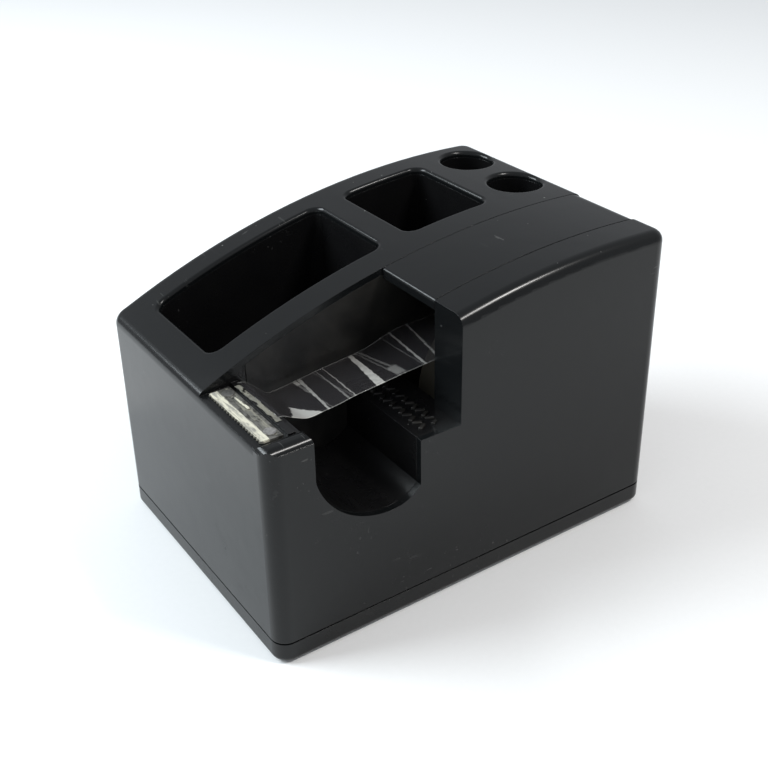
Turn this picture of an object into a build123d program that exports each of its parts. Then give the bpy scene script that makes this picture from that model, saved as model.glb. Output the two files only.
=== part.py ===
from build123d import *

import math
import os

os.makedirs("parts", exist_ok=True)

# Desk organizer with a tape dispenser, two open trays, two pen holes and a side drawer.
# Millimetres, +Z up. The origin is on the table under the middle of the body, the cutter end faces -Y,
# the trays are on the -X side. Values called *_x are measured from the left face and *_y from the
# front face; at() turns such a plan position into the part's own frame.

# ---- overall body -------------------------------------------------------------------------------
length = 150.0            # front face to back face
width = 106.5             # left face to right face
foot_stand = 0.8          # how far the rubber feet stand out below the base
base_thick = 7.0          # visible height of the base slab
seam = 0.6                # dark joint between base and housing
wall = 2.2                # housing walls and top skin
corner_r = 5.2            # upright corners
top_edge_r = 3.8          # rounded edge all round the top
apex_back = 22.0          # where the arched top is highest, in from the back face
apex_z = 105.6            # height of the top there
arch_drop = 29.6          # how much lower the arch is at the front face
rim_r = 1.3               # rounding of the tray and pen rims
fit_gap = 0.15            # between mouldings that are assembled

# ---- tape side ----------------------------------------------------------------------------------
tape_w = 24.0             # width of the tape
tape_side = 1.9           # tape to the channel's sides
right_w = 13.7            # channel to the right face
roll_back = 42.0          # axis of the roll, in from the back face
roll_front = 41.0         # axis of the roll to the front of its bay
shelf_deep = 15.0         # shelf in front of the roll bay
trough_back = 10.5        # lowest line of the finger trough to the upright face behind it
panel = 2.2               # thickness of the inner mouldings
cheek_y = 16.6            # joint between the cutter block's cheek and the divider panel
notch_y = 15.5            # back of the cutter post, where the side notch begins
notch_z = 62.0            # the notch's front edge is straight down to here
trough_z = 41.8           # height of the finger trough's lowest line
lip_z = 46.6              # crease between the trough and the step
shelf_z = 62.6            # height of the shelf
bay_top_over = 10.0       # the bay is open upwards from this far above the shelf
bay_floor_z = 15.0        # top of the roll bay's floor
sill_z = 75.6             # top of the front wall under the cutter
sill_deep = 4.4           # thickness of that wall's rounded top
sill_r = 3.0              # rounding of its front edge
sill_down = 8.0           # how far down the thick part reaches
ear_w = 7.0               # rounded ear at the right end of the cutter
ear_z = 77.4              # its top
ear_r = 2.9               # its rounding
ear_deep = 7.0            # solid below its top

# ---- trays and pen holes ------------------------------------------------------------------------
tray_x0 = 12.6            # left edge of both trays
tray_right = 11.6         # trays to the tape channel
front_tray_y0 = 11.6      # front of the big tray
tray_bridge = 10.4        # between the trays
rear_tray_deep = 32.9     # small tray, front to back
rear_tray_back = 31.5     # small tray to the back face
tray_corner_r = 4.2
tray_floor_z = 38.5       # top of the tray floors
tray_wall = 1.6
pen_r = 9.5               # pen holes
pen_back = 13.1           # in from the back face
pen_side = 5.2            # left hole, in from the trays' left edge
pen_side_right = 8.2      # right hole, in from their right edge
pen_floor_z = 38.5        # top of their floors
pen_wall = 1.4

# ---- tape roll ----------------------------------------------------------------------------------
roll_z = 50.0             # height of the roll's axis
roll_r = 28.5             # outside of the winding
core_thick = 1.5
core_r_in = 12.7
hub_gap = 0.1             # hub barrel inside the core
hub_thick = 1.8           # wall of the barrel
hub_web = 2.0             # web in the middle of the barrel
hub_rib = 1.6             # wall of the boss round the axle
axle_r = 2.8
axle_gap = 0.06           # axle in its cradles
axle_end_gap = 0.4        # axle ends to the bay walls
cradle_thick = 1.6
cradle_w = 15.0
cradle_down = 9.0         # cradle plate below the axle line
cradle_up = 8.0           # cradle plate above the axle line
strip_thick = 0.12        # loose end of the tape
strip_end_y = 4.0         # where it ends on the cutter
strip_gap = 0.05          # strip above what it lies on
strip_bay_drop = 2.6      # lower over the bay's front than on the roll
strip_dip = 0.185         # lowest at this share of the way from the notch to the bay
strip_dip_z = 71.6

# ---- lid ----------------------------------------------------------------------------------------
lid_gap = 0.35            # seam on each side of the lid
lid_thick = 2.2
lid_nose = 3.2            # height of the turned-down front edge
barrel_r = 5.2            # hinge barrel, also the rounding of the lid's back edge
barrel_gap = 0.45         # back wall below the barrel
pin_r = 1.25
pin_gap = 0.05            # hinge pin in the lid
pin_seat_gap = 0.02       # hinge pin in the bay walls
pin_in = 1.8              # how far the pin goes into each wall
lid_edge_r = 1.2          # rounding of the lid's front edge
lid_rib = 1.6             # ribs along its sides
lid_rib_down = 3.0        # how far they hang below the lid

# ---- drawer -------------------------------------------------------------------------------------
mouth_y0 = 20.0           # opening in the left wall
mouth_back = 24.0         # opening to the back face
mouth_z0 = 12.2
mouth_z1 = 34.0
drawer_gap = 0.45         # drawer to the opening, all round
drawer_back = 9.0         # back of the drawer to the tape channel
drawer_wall = 1.6
drawer_floor = 1.8
drawer_low = 1.5          # the tray's walls end this far below the face's top
drawer_face = 2.4         # thickness of the face
face_edge_r = 0.5
face_screw_in = 14.0      # screws, in from the opening's ends
face_screw_up = 11.0      # and up from its lower edge
face_screw_head = 1.4
pull_w = 26.0             # finger notch in the face
pull_deep = 7.0
rail_w = 1.8              # thickness of the rail's side guide
rail_foot = 8.0           # how far the rail reaches under the drawer
rail_end_gap = 1.2        # rail to the base's lip
rail_side = 7.0           # height of the rail's side guide
rail_gap = 0.35           # guide to the drawer's side
rail_top_gap = 0.1        # rail to the drawer's floor

# ---- cutter -------------------------------------------------------------------------------------
blade_thick = 0.6
blade_y0 = 3.0            # points of the teeth
blade_deep = 7.4          # points to back edge
blade_pitch = 1.6         # tooth to tooth
blade_teeth = 20
tooth_deep = 1.3
blade_pin_r = 1.3
blade_pin_back = 2.4      # pins, in from the blade's back edge
blade_pin_side = 3.4      # and from its ends
blade_pin_in = 3.2        # depth of their holes in the block
blade_pin_head_r = 1.9
pin_head_high = 0.35
pin_hole_gap = 0.02
ridge_y = 11.4            # low ridge behind the blade
ridge_w = 2.4
ridge_high = 1.0
cheek_down = 14.0         # the block's cheek reaches this far below its back wall

# ---- base, ballast, screws, feet ----------------------------------------------------------------
base_floor = 2.0
base_edge_r = 1.8
lip_high = 2.6            # inner lip that rises into the housing
lip_thick = 1.2
screw_in = 5.0            # screw positions, in from the faces
boss_r = 3.3              # screw bosses and the pillars under them
boss_high = 16.0
boss_gap = 0.25           # pillar to the cut in the lip
screw_r = 1.35
screw_gap = 0.2           # screws in their clearance holes
screw_bite = 0.02         # screws in their tapped holes
screw_long = 12.0
screw_head_r = 2.5
screw_head_high = 1.6
screw_sink = 0.4          # heads below the base's underside
foot_r = 5.0
foot_seat = 0.7           # depth of the seats in the base
foot_in = 15.0            # foot positions, in from the faces
ballast_y0 = 24.0         # steel block
ballast_back = 24.0
ballast_high = 9.4
ballast_edge = 1.5        # chamfer of its upright edges
ballast_margin = 2.0      # to the base's lip and to the channel's edge
ballast_screw_in = 9.0    # its screws, in from its ends
ballast_hole = 7.0
ballast_head = 0.8        # their flat heads
ballast_screw_long = 6.7
ballast_sink = 0.1

base_z0 = foot_stand
base_z1 = base_z0 + base_thick
body_z0 = base_z1 + seam
apex_y = length - apex_back
arch_r = (apex_y ** 2 + arch_drop ** 2) / (2 * arch_drop)
channel_w = tape_w + 2 * tape_side
channel_x1 = width - right_w
channel_x = channel_x1 - channel_w
roll_y = length - roll_back
bay_y = roll_y - roll_front
step_y = bay_y - shelf_deep
trough_y = step_y - trough_back
strip_dip_y = notch_y + strip_dip * (bay_y - notch_y)
tray_x1 = channel_x - tray_right
rear_tray_y1 = length - rear_tray_back
rear_tray_y0 = rear_tray_y1 - rear_tray_deep
front_tray_y1 = rear_tray_y0 - tray_bridge
pen_y = length - pen_back
pen_x_left = tray_x0 + pen_side
pen_x_right = tray_x1 - pen_side_right
mouth_y1 = length - mouth_back
drawer_deep = channel_x - drawer_back
ballast_y1 = length - ballast_back
core_r_out = core_r_in + core_thick
hinge_y = length - barrel_r
HIGH = apex_z + 30        # above everything


def at(x, y):
    """A plan position measured from the left and front faces, in the part's frame."""
    return x - width / 2, y - length / 2


def top_z(y, inset=0.0):
    """Height of the arched top, y measured from the front face."""
    r = arch_r - inset
    return apex_z - arch_r + math.sqrt(r ** 2 - (apex_y - y) ** 2)


hinge_z = top_z(hinge_y) - barrel_r


def slab(x0, x1, y0, y1, z0, z1):
    """A plain box between plan positions and heights."""
    cx, cy = at((x0 + x1) / 2, (y0 + y1) / 2)
    return Pos(cx, cy, (z0 + z1) / 2) * Box(x1 - x0, y1 - y0, z1 - z0)


def across(x0, x1, *edges):
    """A closed YZ outline, its points measured from the front face, extruded from x0 to x1."""
    sketch = Plane.YZ * make_face(Curve() + list(edges))
    return extrude(Pos(x0 - width / 2, -length / 2, 0) * sketch, amount=x1 - x0, dir=(1, 0, 0))


def post(x, y, z0, z1, radius):
    """An upright round bar."""
    cx, cy = at(x, y)
    return Pos(cx, cy, (z0 + z1) / 2) * Cylinder(radius, z1 - z0)


def rod(x0, x1, y, z, radius):
    """A round bar along X."""
    cx, cy = at((x0 + x1) / 2, y)
    return Pos(cx, cy, z) * Rot(0, 90, 0) * Cylinder(radius, x1 - x0)


def well(x0, x1, y0, y1, z0, z1, radius):
    """An upright prism with rounded corners between plan positions."""
    cx, cy = at((x0 + x1) / 2, (y0 + y1) / 2)
    return Pos(cx, cy, z0) * extrude(RectangleRounded(x1 - x0, y1 - y0, radius), amount=z1 - z0)


def footprint(inset, z0, z1):
    """The outline of the body, rounded at its corners, as an upright prism."""
    return well(inset, width - inset, inset, length - inset, z0, z1, corner_r - inset)


def under_arch(inset, x0, x1, y0, y1, z0):
    """Everything from z0 up to the arched top, lowered by inset."""
    mid = (y0 + y1) / 2
    arc = ThreePointArc((y0, top_z(y0, inset)), (mid, top_z(mid, inset)), (y1, top_z(y1, inset)))
    rest = Polyline((y1, top_z(y1, inset)), (y1, z0), (y0, z0), (y0, top_z(y0, inset)))
    return across(x0, x1, arc, rest)


def rounded_body(inset, z0):
    """The arched body with its upright corners and its top edge rounded."""
    block = under_arch(inset, inset, width - inset, inset, length - inset, z0)
    block = fillet(block.edges().filter_by(Axis.Z), corner_r - inset)
    rim = [e for e in block.edges() if e.bounding_box().min.Z > z0 + 20]
    return fillet(rim, top_edge_r - inset)


def notch(x0, x1, grow=0.0):
    """The side notch over trough, step and shelf, open upwards; grow sinks it into the material."""
    y0, y_step, z_shelf = notch_y - grow, step_y + grow, shelf_z - grow
    low_z, z_lip = trough_z - grow, lip_z - grow * 0.6
    reach = trough_y - notch_y
    rise = notch_z - trough_z
    r1 = (reach ** 2 + rise ** 2) / (2 * rise) + grow
    centre_z = low_z + r1
    start_z = centre_z - math.sqrt(r1 ** 2 - (trough_y - y0) ** 2)
    half = math.asin((trough_y - y0) / r1) * 0.5
    mid = (trough_y - r1 * math.sin(half), centre_z - r1 * math.cos(half))
    run = y_step - trough_y
    lift = z_lip - low_z
    r2 = (run ** 2 + lift ** 2) / (2 * lift)
    bend = math.asin(run / r2) * 0.5
    mid2 = (trough_y + r2 * math.sin(bend), low_z + r2 - r2 * math.cos(bend))
    return across(
        x0, x1,
        ThreePointArc((y0, start_z), mid, (trough_y, low_z)),
        ThreePointArc((trough_y, low_z), mid2, (y_step, z_lip)),
        Polyline((y_step, z_lip), (y_step, z_shelf), (bay_y, z_shelf), (bay_y, HIGH),
                 (y0, HIGH), (y0, start_z)),
    )


def inside_body():
    """The room inside the housing."""
    return rounded_body(wall, body_z0 - 1)


def screw_places():
    """Plan positions of the four base screws."""
    return [(x, y) for x in (screw_in, width - screw_in) for y in (screw_in, length - screw_in)]


def is_rim(edge):
    """The upper edges of the tray and pen openings."""
    box = edge.bounding_box()
    x0, y0 = box.min.X + width / 2, box.min.Y + length / 2
    x1, y1 = box.max.X + width / 2, box.max.Y + length / 2
    inside = x0 > wall + 1 and x1 < channel_x - 1 and y0 > wall + 1 and y1 < length - wall - 0.5
    middle = edge @ 0.5
    return inside and abs(middle.Z - top_z(middle.Y + length / 2)) < 0.1


def make_housing():
    skin = rounded_body(0, body_z0)
    for y0, y1 in ((front_tray_y0, front_tray_y1), (rear_tray_y0, rear_tray_y1)):
        skin -= well(tray_x0, tray_x1, y0, y1, tray_floor_z, HIGH, tray_corner_r)
    for x in (pen_x_left, pen_x_right):
        skin -= post(x, pen_y, pen_floor_z, HIGH, pen_r)
    skin = fillet([e for e in skin.edges() if is_rim(e)], rim_r)
    hollow = inside_body()
    # solid left in the hollow: the shoulder's front face, the ear and the screw bosses
    keep = slab(channel_x1, width, bay_y, bay_y + wall, shelf_z - panel, HIGH)
    keep += slab(width - ear_w, width, 0, notch_y, ear_z - ear_deep, HIGH)
    for x, y in screw_places():
        keep += post(x, y, body_z0, body_z0 + boss_high, boss_r)
    shell = skin - (hollow - keep)
    # the tape side is open
    shell -= notch(channel_x, width + 1)
    shell -= slab(channel_x, width + 1, -1, notch_y + 1, sill_z, HIGH)
    shell -= slab(channel_x, width - ear_w, wall, notch_y + 1, sill_z - sill_down, HIGH)
    shell -= slab(channel_x, channel_x1, bay_y - 1, length - wall - 1, shelf_z + bay_top_over, HIGH)
    shell -= slab(channel_x, channel_x1, length - wall - 2, length + 1,
                  hinge_z - barrel_r - barrel_gap, HIGH)
    front = make_sill()
    front += slab(width - ear_w, width, 0, notch_y, sill_z - sill_down, sill_z)
    shell += front & footprint(0, 0, HIGH)
    shell += make_ear()
    for x, y in screw_places():
        shell -= post(x, y, body_z0 - 1, body_z0 + boss_high - 2, screw_r)
    shell -= slab(-1, wall + 1, mouth_y0, mouth_y1, mouth_z0, mouth_z1)
    return shell


def make_sill():
    """Rounded top of the front wall, under the cutter."""
    z0 = sill_z - sill_down
    k = sill_r * (1 - math.sqrt(0.5))
    return across(
        channel_x, width - ear_w + 1,
        ThreePointArc((0, sill_z - sill_r), (k, sill_z - k), (sill_r, sill_z)),
        Polyline((sill_r, sill_z), (sill_deep, sill_z), (sill_deep, z0 + sill_deep - wall),
                 (wall, z0), (0, z0), (0, sill_z - sill_r)),
    )


def make_ear():
    """Rounded end of the cutter, on top of the right wall."""
    x0, x1 = width - ear_w, width
    cx = (x0 + x1) / 2 - width / 2
    z0 = sill_z - ear_r
    half = ear_w / 2
    profile = Pos(cx, 0) * (
        Pos(0, (z0 + ear_z - ear_r) / 2) * Rectangle(ear_w, ear_z - ear_r - z0)
        + Pos(0, ear_z - ear_r) * Rectangle(2 * (half - ear_r), 2 * ear_r)
        + Pos(-(half - ear_r), ear_z - ear_r) * Circle(ear_r)
        + Pos(half - ear_r, ear_z - ear_r) * Circle(ear_r)
    )
    bar = extrude(Plane.XZ * profile, amount=length / 2)
    long_profile = across(
        x0, x1,
        Polyline((notch_y, z0), (0, z0), (0, ear_z - ear_r)),
        ThreePointArc((0, ear_z - ear_r),
                      (ear_r * (1 - math.cos(math.pi / 4)), ear_z - ear_r * (1 - math.sin(math.pi / 4))),
                      (ear_r, ear_z)),
        Polyline((ear_r, ear_z), (notch_y - ear_r / 2, ear_z)),
        ThreePointArc((notch_y - ear_r / 2, ear_z),
                      (notch_y - ear_r / 2 * (1 - math.sin(math.pi / 4)),
                       ear_z - ear_r / 2 * (1 - math.cos(math.pi / 4))),
                      (notch_y, ear_z - ear_r / 2)),
        Line((notch_y, ear_z - ear_r / 2), (notch_y, z0)),
    )
    return bar & long_profile & footprint(0, 0, HIGH)


def make_tray(y0, y1):
    """Cup under a tray opening, its top against the underside of the skin."""
    t = tray_wall
    outer = well(tray_x0 - t, tray_x1 + t, y0 - t, y1 + t, tray_floor_z - t, HIGH, tray_corner_r + t)
    inner = well(tray_x0, tray_x1, y0, y1, tray_floor_z, HIGH, tray_corner_r)
    return (outer & inside_body()) - inner


def make_pen_tube(x):
    outer = post(x, pen_y, pen_floor_z - pen_wall, HIGH, pen_r + pen_wall)
    inner = post(x, pen_y, pen_floor_z, HIGH, pen_r)
    return (outer & inside_body()) - inner


def make_divider():
    """Left wall of the tape side, up to the skin."""
    x0, x1 = channel_x - panel, channel_x
    plate = slab(x0, x1, cheek_y + fit_gap, length - wall - fit_gap, bay_floor_z - panel, HIGH)
    plate &= inside_body()
    bore = rod(x1 - pin_in, x1 + 1, hinge_y, hinge_z, pin_r + pin_seat_gap)
    return plate - bore


def make_trough():
    """Finger trough, step and shelf, one bent panel between the divider and the right wall."""
    x0, x1 = channel_x + fit_gap, width - wall - fit_gap
    band = notch(x0, x1, panel) - notch(x0 - 1, x1 + 1)
    return band - slab(x0 - 1, x1 + 1, 0, step_y, notch_z, HIGH + 5)


def make_roll_bay():
    """Floor, front, back and right wall of the roll bay."""
    x0, x1 = channel_x + fit_gap, channel_x1
    y0, y1 = bay_y, length - wall - fit_gap
    floor_z = bay_floor_z - panel
    tub = slab(x0, x1 + panel, y0, y1, floor_z, bay_floor_z)
    tub += slab(x0, x1 + panel, y0, y0 + panel, floor_z, shelf_z - panel - fit_gap)
    tub += slab(x0, x1 - fit_gap, y0, y0 + panel, floor_z, shelf_z)
    tub += slab(x0, x1 + panel, y1 - panel, y1, floor_z, hinge_z - barrel_r - barrel_gap)
    side = slab(x1, x1 + panel, y0 + wall + fit_gap, y1, floor_z, HIGH) & inside_body()
    bore = rod(x1 - 1, x1 + pin_in, hinge_y, hinge_z, pin_r + pin_seat_gap)
    return tub + side - bore


def make_cradle(x0):
    """Bracket with an open-topped slot for the axle."""
    r = axle_r + axle_gap
    plate = slab(x0, x0 + cradle_thick, roll_y - cradle_w / 2, roll_y + cradle_w / 2,
                 roll_z - cradle_down, roll_z + cradle_up)
    slot = slab(x0 - 1, x0 + cradle_thick + 1, roll_y - r, roll_y + r, roll_z, HIGH)
    return plate - slot - rod(x0 - 1, x0 + cradle_thick + 1, roll_y, roll_z, r)


def make_cutter_block():
    """Deck behind the front wall, with a back wall and a left cheek."""
    x0, x1 = channel_x, width - ear_w - fit_gap
    y0 = sill_deep + fit_gap
    deck_z = sill_z
    block = slab(x0, x1, y0, notch_y, deck_z - panel, deck_z)
    block += slab(x0, x1, notch_y - panel, notch_y, notch_z, deck_z)
    block += slab(x0, x1, ridge_y, ridge_y + ridge_w, deck_z - 1, deck_z + ridge_high)
    cheek = slab(x0 - panel, x0, wall + fit_gap, cheek_y, notch_z - cheek_down, HIGH) & inside_body()
    pin_y = blade_y0 + blade_deep - blade_pin_back
    for x in blade_pin_places():
        block -= post(x, pin_y, deck_z - blade_pin_in, HIGH, blade_pin_r + pin_hole_gap)
    return block + cheek


def blade_pin_places():
    x_mid = (channel_x + width - ear_w) / 2
    half = blade_pitch * blade_teeth / 2 - blade_pin_side
    return [x_mid - half, x_mid + half]


def make_blade():
    """Flat steel strip with a row of teeth along its front edge and two holes."""
    run = blade_pitch * blade_teeth
    x0 = (channel_x + width - ear_w) / 2 - run / 2
    points = [(x0 + run, blade_y0 + blade_deep), (x0, blade_y0 + blade_deep)]
    for n in range(blade_teeth):
        points.append((x0 + n * blade_pitch, blade_y0 + tooth_deep))
        points.append((x0 + (n + 0.5) * blade_pitch, blade_y0))
    points.append((x0 + run, blade_y0 + tooth_deep))
    outline = make_face(Polyline(*[at(*p) for p in points], close=True))
    strip = Pos(0, 0, sill_z) * extrude(outline, amount=blade_thick)
    for x in blade_pin_places():
        strip -= post(x, blade_y0 + blade_deep - blade_pin_back, sill_z - 1, HIGH, blade_pin_r + pin_hole_gap)
    return strip


def make_blade_pins():
    y = blade_y0 + blade_deep - blade_pin_back
    z = sill_z + blade_thick
    pins = []
    for x in blade_pin_places():
        pins.append(post(x, y, sill_z - blade_pin_in + 0.3, z, blade_pin_r)
                    + post(x, y, z, z + pin_head_high, blade_pin_head_r))
    return pins


def make_strip():
    """Loose end of the tape: off the top of the roll, over the shelf, down onto the cutter."""
    x0 = channel_x + (channel_w - tape_w) / 2
    crest_z = sill_z + ridge_high + strip_gap
    end_z = sill_z + blade_thick + pin_head_high + strip_gap
    top = roll_z + roll_r + strip_gap
    t = strip_thick
    crest = (ridge_y + ridge_w + 0.3, crest_z + 0.1)
    low = [Spline((roll_y, top), (bay_y, top - strip_bay_drop), (strip_dip_y, strip_dip_z), crest,
                  tangents=[(-1, 0), (-1, 0.3)]),
           Polyline(crest, (ridge_y, crest_z), (strip_end_y, end_z))]
    face = make_face(Curve() + low + [c.moved(Pos(0, t, 0)) for c in low]
                     + [Line((roll_y, top), (roll_y, top + t)),
                        Line((strip_end_y, end_z), (strip_end_y, end_z + t))])
    return extrude(Pos(x0 - width / 2, -length / 2, 0) * (Plane.YZ * face), amount=tape_w, dir=(1, 0, 0))


def make_lid():
    """Arched lid with a turned-down nose, two side ribs and a hinge barrel along its back edge."""
    x0, x1 = channel_x + lid_gap, channel_x1 - lid_gap
    y0, y1 = bay_y, hinge_y
    plate = under_arch(0, x0, x1, y0, y1, 0) - under_arch(lid_thick, x0 - 1, x1 + 1, y0 - 1, y1 + 1, -1)
    nose = under_arch(0, x0, x1, y0, y0 + lid_thick, top_z(y0) - lid_nose)
    ribs = under_arch(0.5, x0, x0 + lid_rib, y0, y1, top_z(y0) - lid_nose)
    ribs += under_arch(0.5, x1 - lid_rib, x1, y0, y1, top_z(y0) - lid_nose)
    ribs -= under_arch(lid_thick + lid_rib_down, x0 - 1, x1 + 1, y0 + lid_thick + 2, y1 + 1, -1)
    body = plate + nose + (ribs & slab(x0, x1, y0, y1 - barrel_r - 2, 0, HIGH))
    barrel = rod(x0, x1, hinge_y, hinge_z, barrel_r)
    body += barrel
    front_edge = [e for e in body.edges()
                  if abs((e @ 0.5).Y + length / 2 - y0) < 0.01 and (e @ 0.5).Z > top_z(y0) - 0.1]
    body = fillet(front_edge, lid_edge_r)
    return body - rod(x0 - 1, x1 + 1, hinge_y, hinge_z, pin_r + pin_gap)


def make_drawer_tray():
    """Open tray without its face."""
    x0, x1 = drawer_face, drawer_deep
    y0, y1 = mouth_y0 + drawer_gap, mouth_y1 - drawer_gap
    z0, z1 = mouth_z0 + drawer_gap, mouth_z1 - drawer_gap - drawer_low
    t = drawer_wall
    tray = slab(x0, x1, y0, y1, z0, z1)
    tray -= slab(x0 + t, x1 - t, y0 + t, y1 - t, z0 + drawer_floor, HIGH)
    for x, y, z in drawer_screw_places():
        tray -= rod(x0 - 1, x0 + t + 1, y, z, screw_r + screw_bite)
    return tray - make_pull(x0 - 1, x0 + t + 1)


def make_pull(x0, x1):
    """Rounded finger notch in the top edge of the drawer face."""
    z1 = mouth_z1 - drawer_gap
    mid = (mouth_y0 + mouth_y1) / 2
    cx, cy = at((x0 + x1) / 2, mid)
    shape = RectangleRounded(pull_w, 2 * pull_deep, pull_deep - 1)
    return extrude(Pos(x0 - width / 2, cy, z1) * (Plane.YZ * shape), amount=x1 - x0, dir=(1, 0, 0))


def drawer_screw_places():
    z = mouth_z0 + face_screw_up
    return [(0, mouth_y0 + face_screw_in, z), (0, mouth_y1 - face_screw_in, z)]


def make_drawer_face():
    """Flush face with a finger notch."""
    g = drawer_gap
    face = slab(0, drawer_face, mouth_y0 + g, mouth_y1 - g, mouth_z0 + g, mouth_z1 - g)
    face = fillet([e for e in face.edges() if abs((e @ 0.5).X + width / 2) < 0.01],
                  face_edge_r)
    face -= make_pull(-1, drawer_face + 1)
    for x, y, z in drawer_screw_places():
        face -= rod(1.0, drawer_face + 1, y, z, screw_r + screw_bite)
    return face


def make_drawer_screws():
    screws = []
    for x, y, z in drawer_screw_places():
        head_x = drawer_face + drawer_wall
        head = rod(head_x, head_x + face_screw_head, y, z, screw_head_r)
        screws.append(rod(1.2, head_x, y, z, screw_r) + head)
    return screws


def make_rail(side):
    """L-shaped runner: a foot under the drawer and an upright guide beside it."""
    z_floor = base_z0 + base_floor
    z_top = mouth_z0 + drawer_gap - rail_top_gap
    x0, x1 = wall + fit_gap + lip_thick + rail_end_gap, channel_x - panel - rail_end_gap / 2
    if side < 0:
        y_in = mouth_y0 + drawer_gap
        foot = slab(x0, x1, y_in - rail_gap - rail_w, y_in + rail_foot, z_floor, z_top)
        guide = slab(x0, x1, y_in - rail_gap - rail_w, y_in - rail_gap, z_floor, z_top + rail_side)
    else:
        y_in = mouth_y1 - drawer_gap
        foot = slab(x0, x1, y_in - rail_foot, y_in + rail_gap + rail_w, z_floor, z_top)
        guide = slab(x0, x1, y_in + rail_gap, y_in + rail_gap + rail_w, z_floor, z_top + rail_side)
    return foot + guide


def make_base():
    """Slab with an open inside, a lip that rises into the housing, screw pillars and foot seats."""
    body = footprint(0, base_z0, base_z1)
    body = fillet([e for e in body.edges() if (e @ 0.5).Z < base_z0 + 0.01], base_edge_r)
    inset = wall + fit_gap
    body += footprint(inset, base_z1 - 1, base_z1 + seam + lip_high)
    body -= footprint(inset + lip_thick, base_z0 + base_floor, HIGH)
    for x, y in screw_places():
        body -= post(x, y, base_z1, HIGH, boss_r + boss_gap)
    for x, y in screw_places():
        body += post(x, y, base_z0 + 0.5, body_z0, boss_r)
    for x, y in screw_places():
        body -= post(x, y, -1, HIGH, screw_r + screw_gap)
        body -= post(x, y, -1, base_z0 + screw_sink + screw_head_high, screw_head_r + screw_gap)
    for x, y in foot_places():
        body -= post(x, y, -1, base_z0 + foot_seat, foot_r)
    for x, y in ballast_screw_places():
        body -= post(x, y, -1, HIGH, screw_r + screw_gap)
        body -= post(x, y, -1, base_z0 + ballast_sink + ballast_head, screw_head_r + screw_gap)
    return body


def foot_places():
    return [(x, y) for x in (foot_in, width - foot_in) for y in (foot_in, length - foot_in)]


def ballast_box():
    """Plan limits and heights of the steel block under the roll bay."""
    m = ballast_margin
    z0 = base_z0 + base_floor
    return channel_x + m, width - wall - lip_thick - m, ballast_y0, ballast_y1, z0, z0 + ballast_high


def ballast_screw_places():
    x0, x1, y0, y1, _, _ = ballast_box()
    mid = (x0 + x1) / 2
    return [(mid, y0 + ballast_screw_in), (mid, y1 - ballast_screw_in)]


def make_ballast():
    x0, x1, y0, y1, z0, z1 = ballast_box()
    block = slab(x0, x1, y0, y1, z0, z1)
    block = chamfer(block.edges().filter_by(Axis.Z), ballast_edge)
    for x, y in ballast_screw_places():
        block -= post(x, y, -1, z0 + ballast_hole, screw_r + screw_bite)
    return block


def make_base_screws():
    """Four pan-head screws from below into the bosses."""
    z = base_z0 + screw_sink
    return [post(x, y, z, z + screw_head_high, screw_head_r)
            + post(x, y, z + screw_head_high, z + screw_head_high + screw_long, screw_r - screw_bite)
            for x, y in screw_places()]


def make_ballast_screws():
    z = base_z0 + ballast_sink
    z1 = z + ballast_head
    return [post(x, y, z, z1, screw_head_r) + post(x, y, z1, z1 + ballast_screw_long, screw_r)
            for x, y in ballast_screw_places()]


def make_hub():
    """Barrel inside the core, a web in the middle and a bored boss."""
    x0 = channel_x + (channel_w - tape_w) / 2
    x1 = x0 + tape_w
    mid = (x0 + x1) / 2
    r = core_r_in - hub_gap
    hub = rod(x0, x1, roll_y, roll_z, r) - rod(x0 - 1, x1 + 1, roll_y, roll_z, r - hub_thick)
    hub += rod(mid - hub_web / 2, mid + hub_web / 2, roll_y, roll_z, r - hub_thick / 2)
    hub += rod(x0, x1, roll_y, roll_z, axle_r + hub_rib)
    return hub - rod(x0 - 1, x1 + 1, roll_y, roll_z, axle_r)


def save(name, shape):
    if isinstance(shape, list):
        shape = Compound(children=shape) if len(shape) > 1 else shape[0]
    solids = shape.solids()
    box = shape.bounding_box()
    print(name, "valid" if shape.is_valid else "NOT VALID", len(solids), "solids",
          [round(v, 2) for v in (*box.min, *box.max)], round(shape.volume))
    export_step(shape, f"parts/{name}.step")


x_tape0 = channel_x + (channel_w - tape_w) / 2
x_tape1 = x_tape0 + tape_w
save("housing", make_housing())
save("front_tray", make_tray(front_tray_y0, front_tray_y1))
save("rear_tray", make_tray(rear_tray_y0, rear_tray_y1))
save("pen_tube_left", make_pen_tube(pen_x_left))
save("pen_tube_right", make_pen_tube(pen_x_right))
save("divider_panel", make_divider())
save("trough_panel", make_trough())
save("roll_bay", make_roll_bay())
save("cradle_left", make_cradle(channel_x))
save("cradle_right", make_cradle(channel_x1 - cradle_thick))
save("cutter_block", make_cutter_block())
save("cutter_blade", make_blade())
save("blade_pins", make_blade_pins())
save("tape_strip", make_strip())
save("base_plate", make_base())
save("ballast_weight", make_ballast())
save("ballast_screws", make_ballast_screws())
save("base_screws", make_base_screws())
for name, (x, y) in zip(("foot_fl", "foot_bl", "foot_fr", "foot_br"), foot_places()):
    save(name, post(x, y, 0, base_z0 + foot_seat, foot_r))
save("rail_front", make_rail(-1))
save("rail_rear", make_rail(1))
save("hinge_pin", rod(channel_x - pin_in + 0.2, channel_x1 + pin_in - 0.2, hinge_y, hinge_z, pin_r))
save("tape_lid", make_lid())
save("tape_roll", rod(x_tape0, x_tape1, roll_y, roll_z, roll_r)
     - rod(x_tape0 - 1, x_tape1 + 1, roll_y, roll_z, core_r_out))
save("roll_core", rod(x_tape0, x_tape1, roll_y, roll_z, core_r_out)
     - rod(x_tape0 - 1, x_tape1 + 1, roll_y, roll_z, core_r_in))
save("roll_hub", make_hub())
save("hub_axle", rod(channel_x + axle_end_gap, channel_x1 - axle_end_gap, roll_y, roll_z, axle_r))
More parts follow.
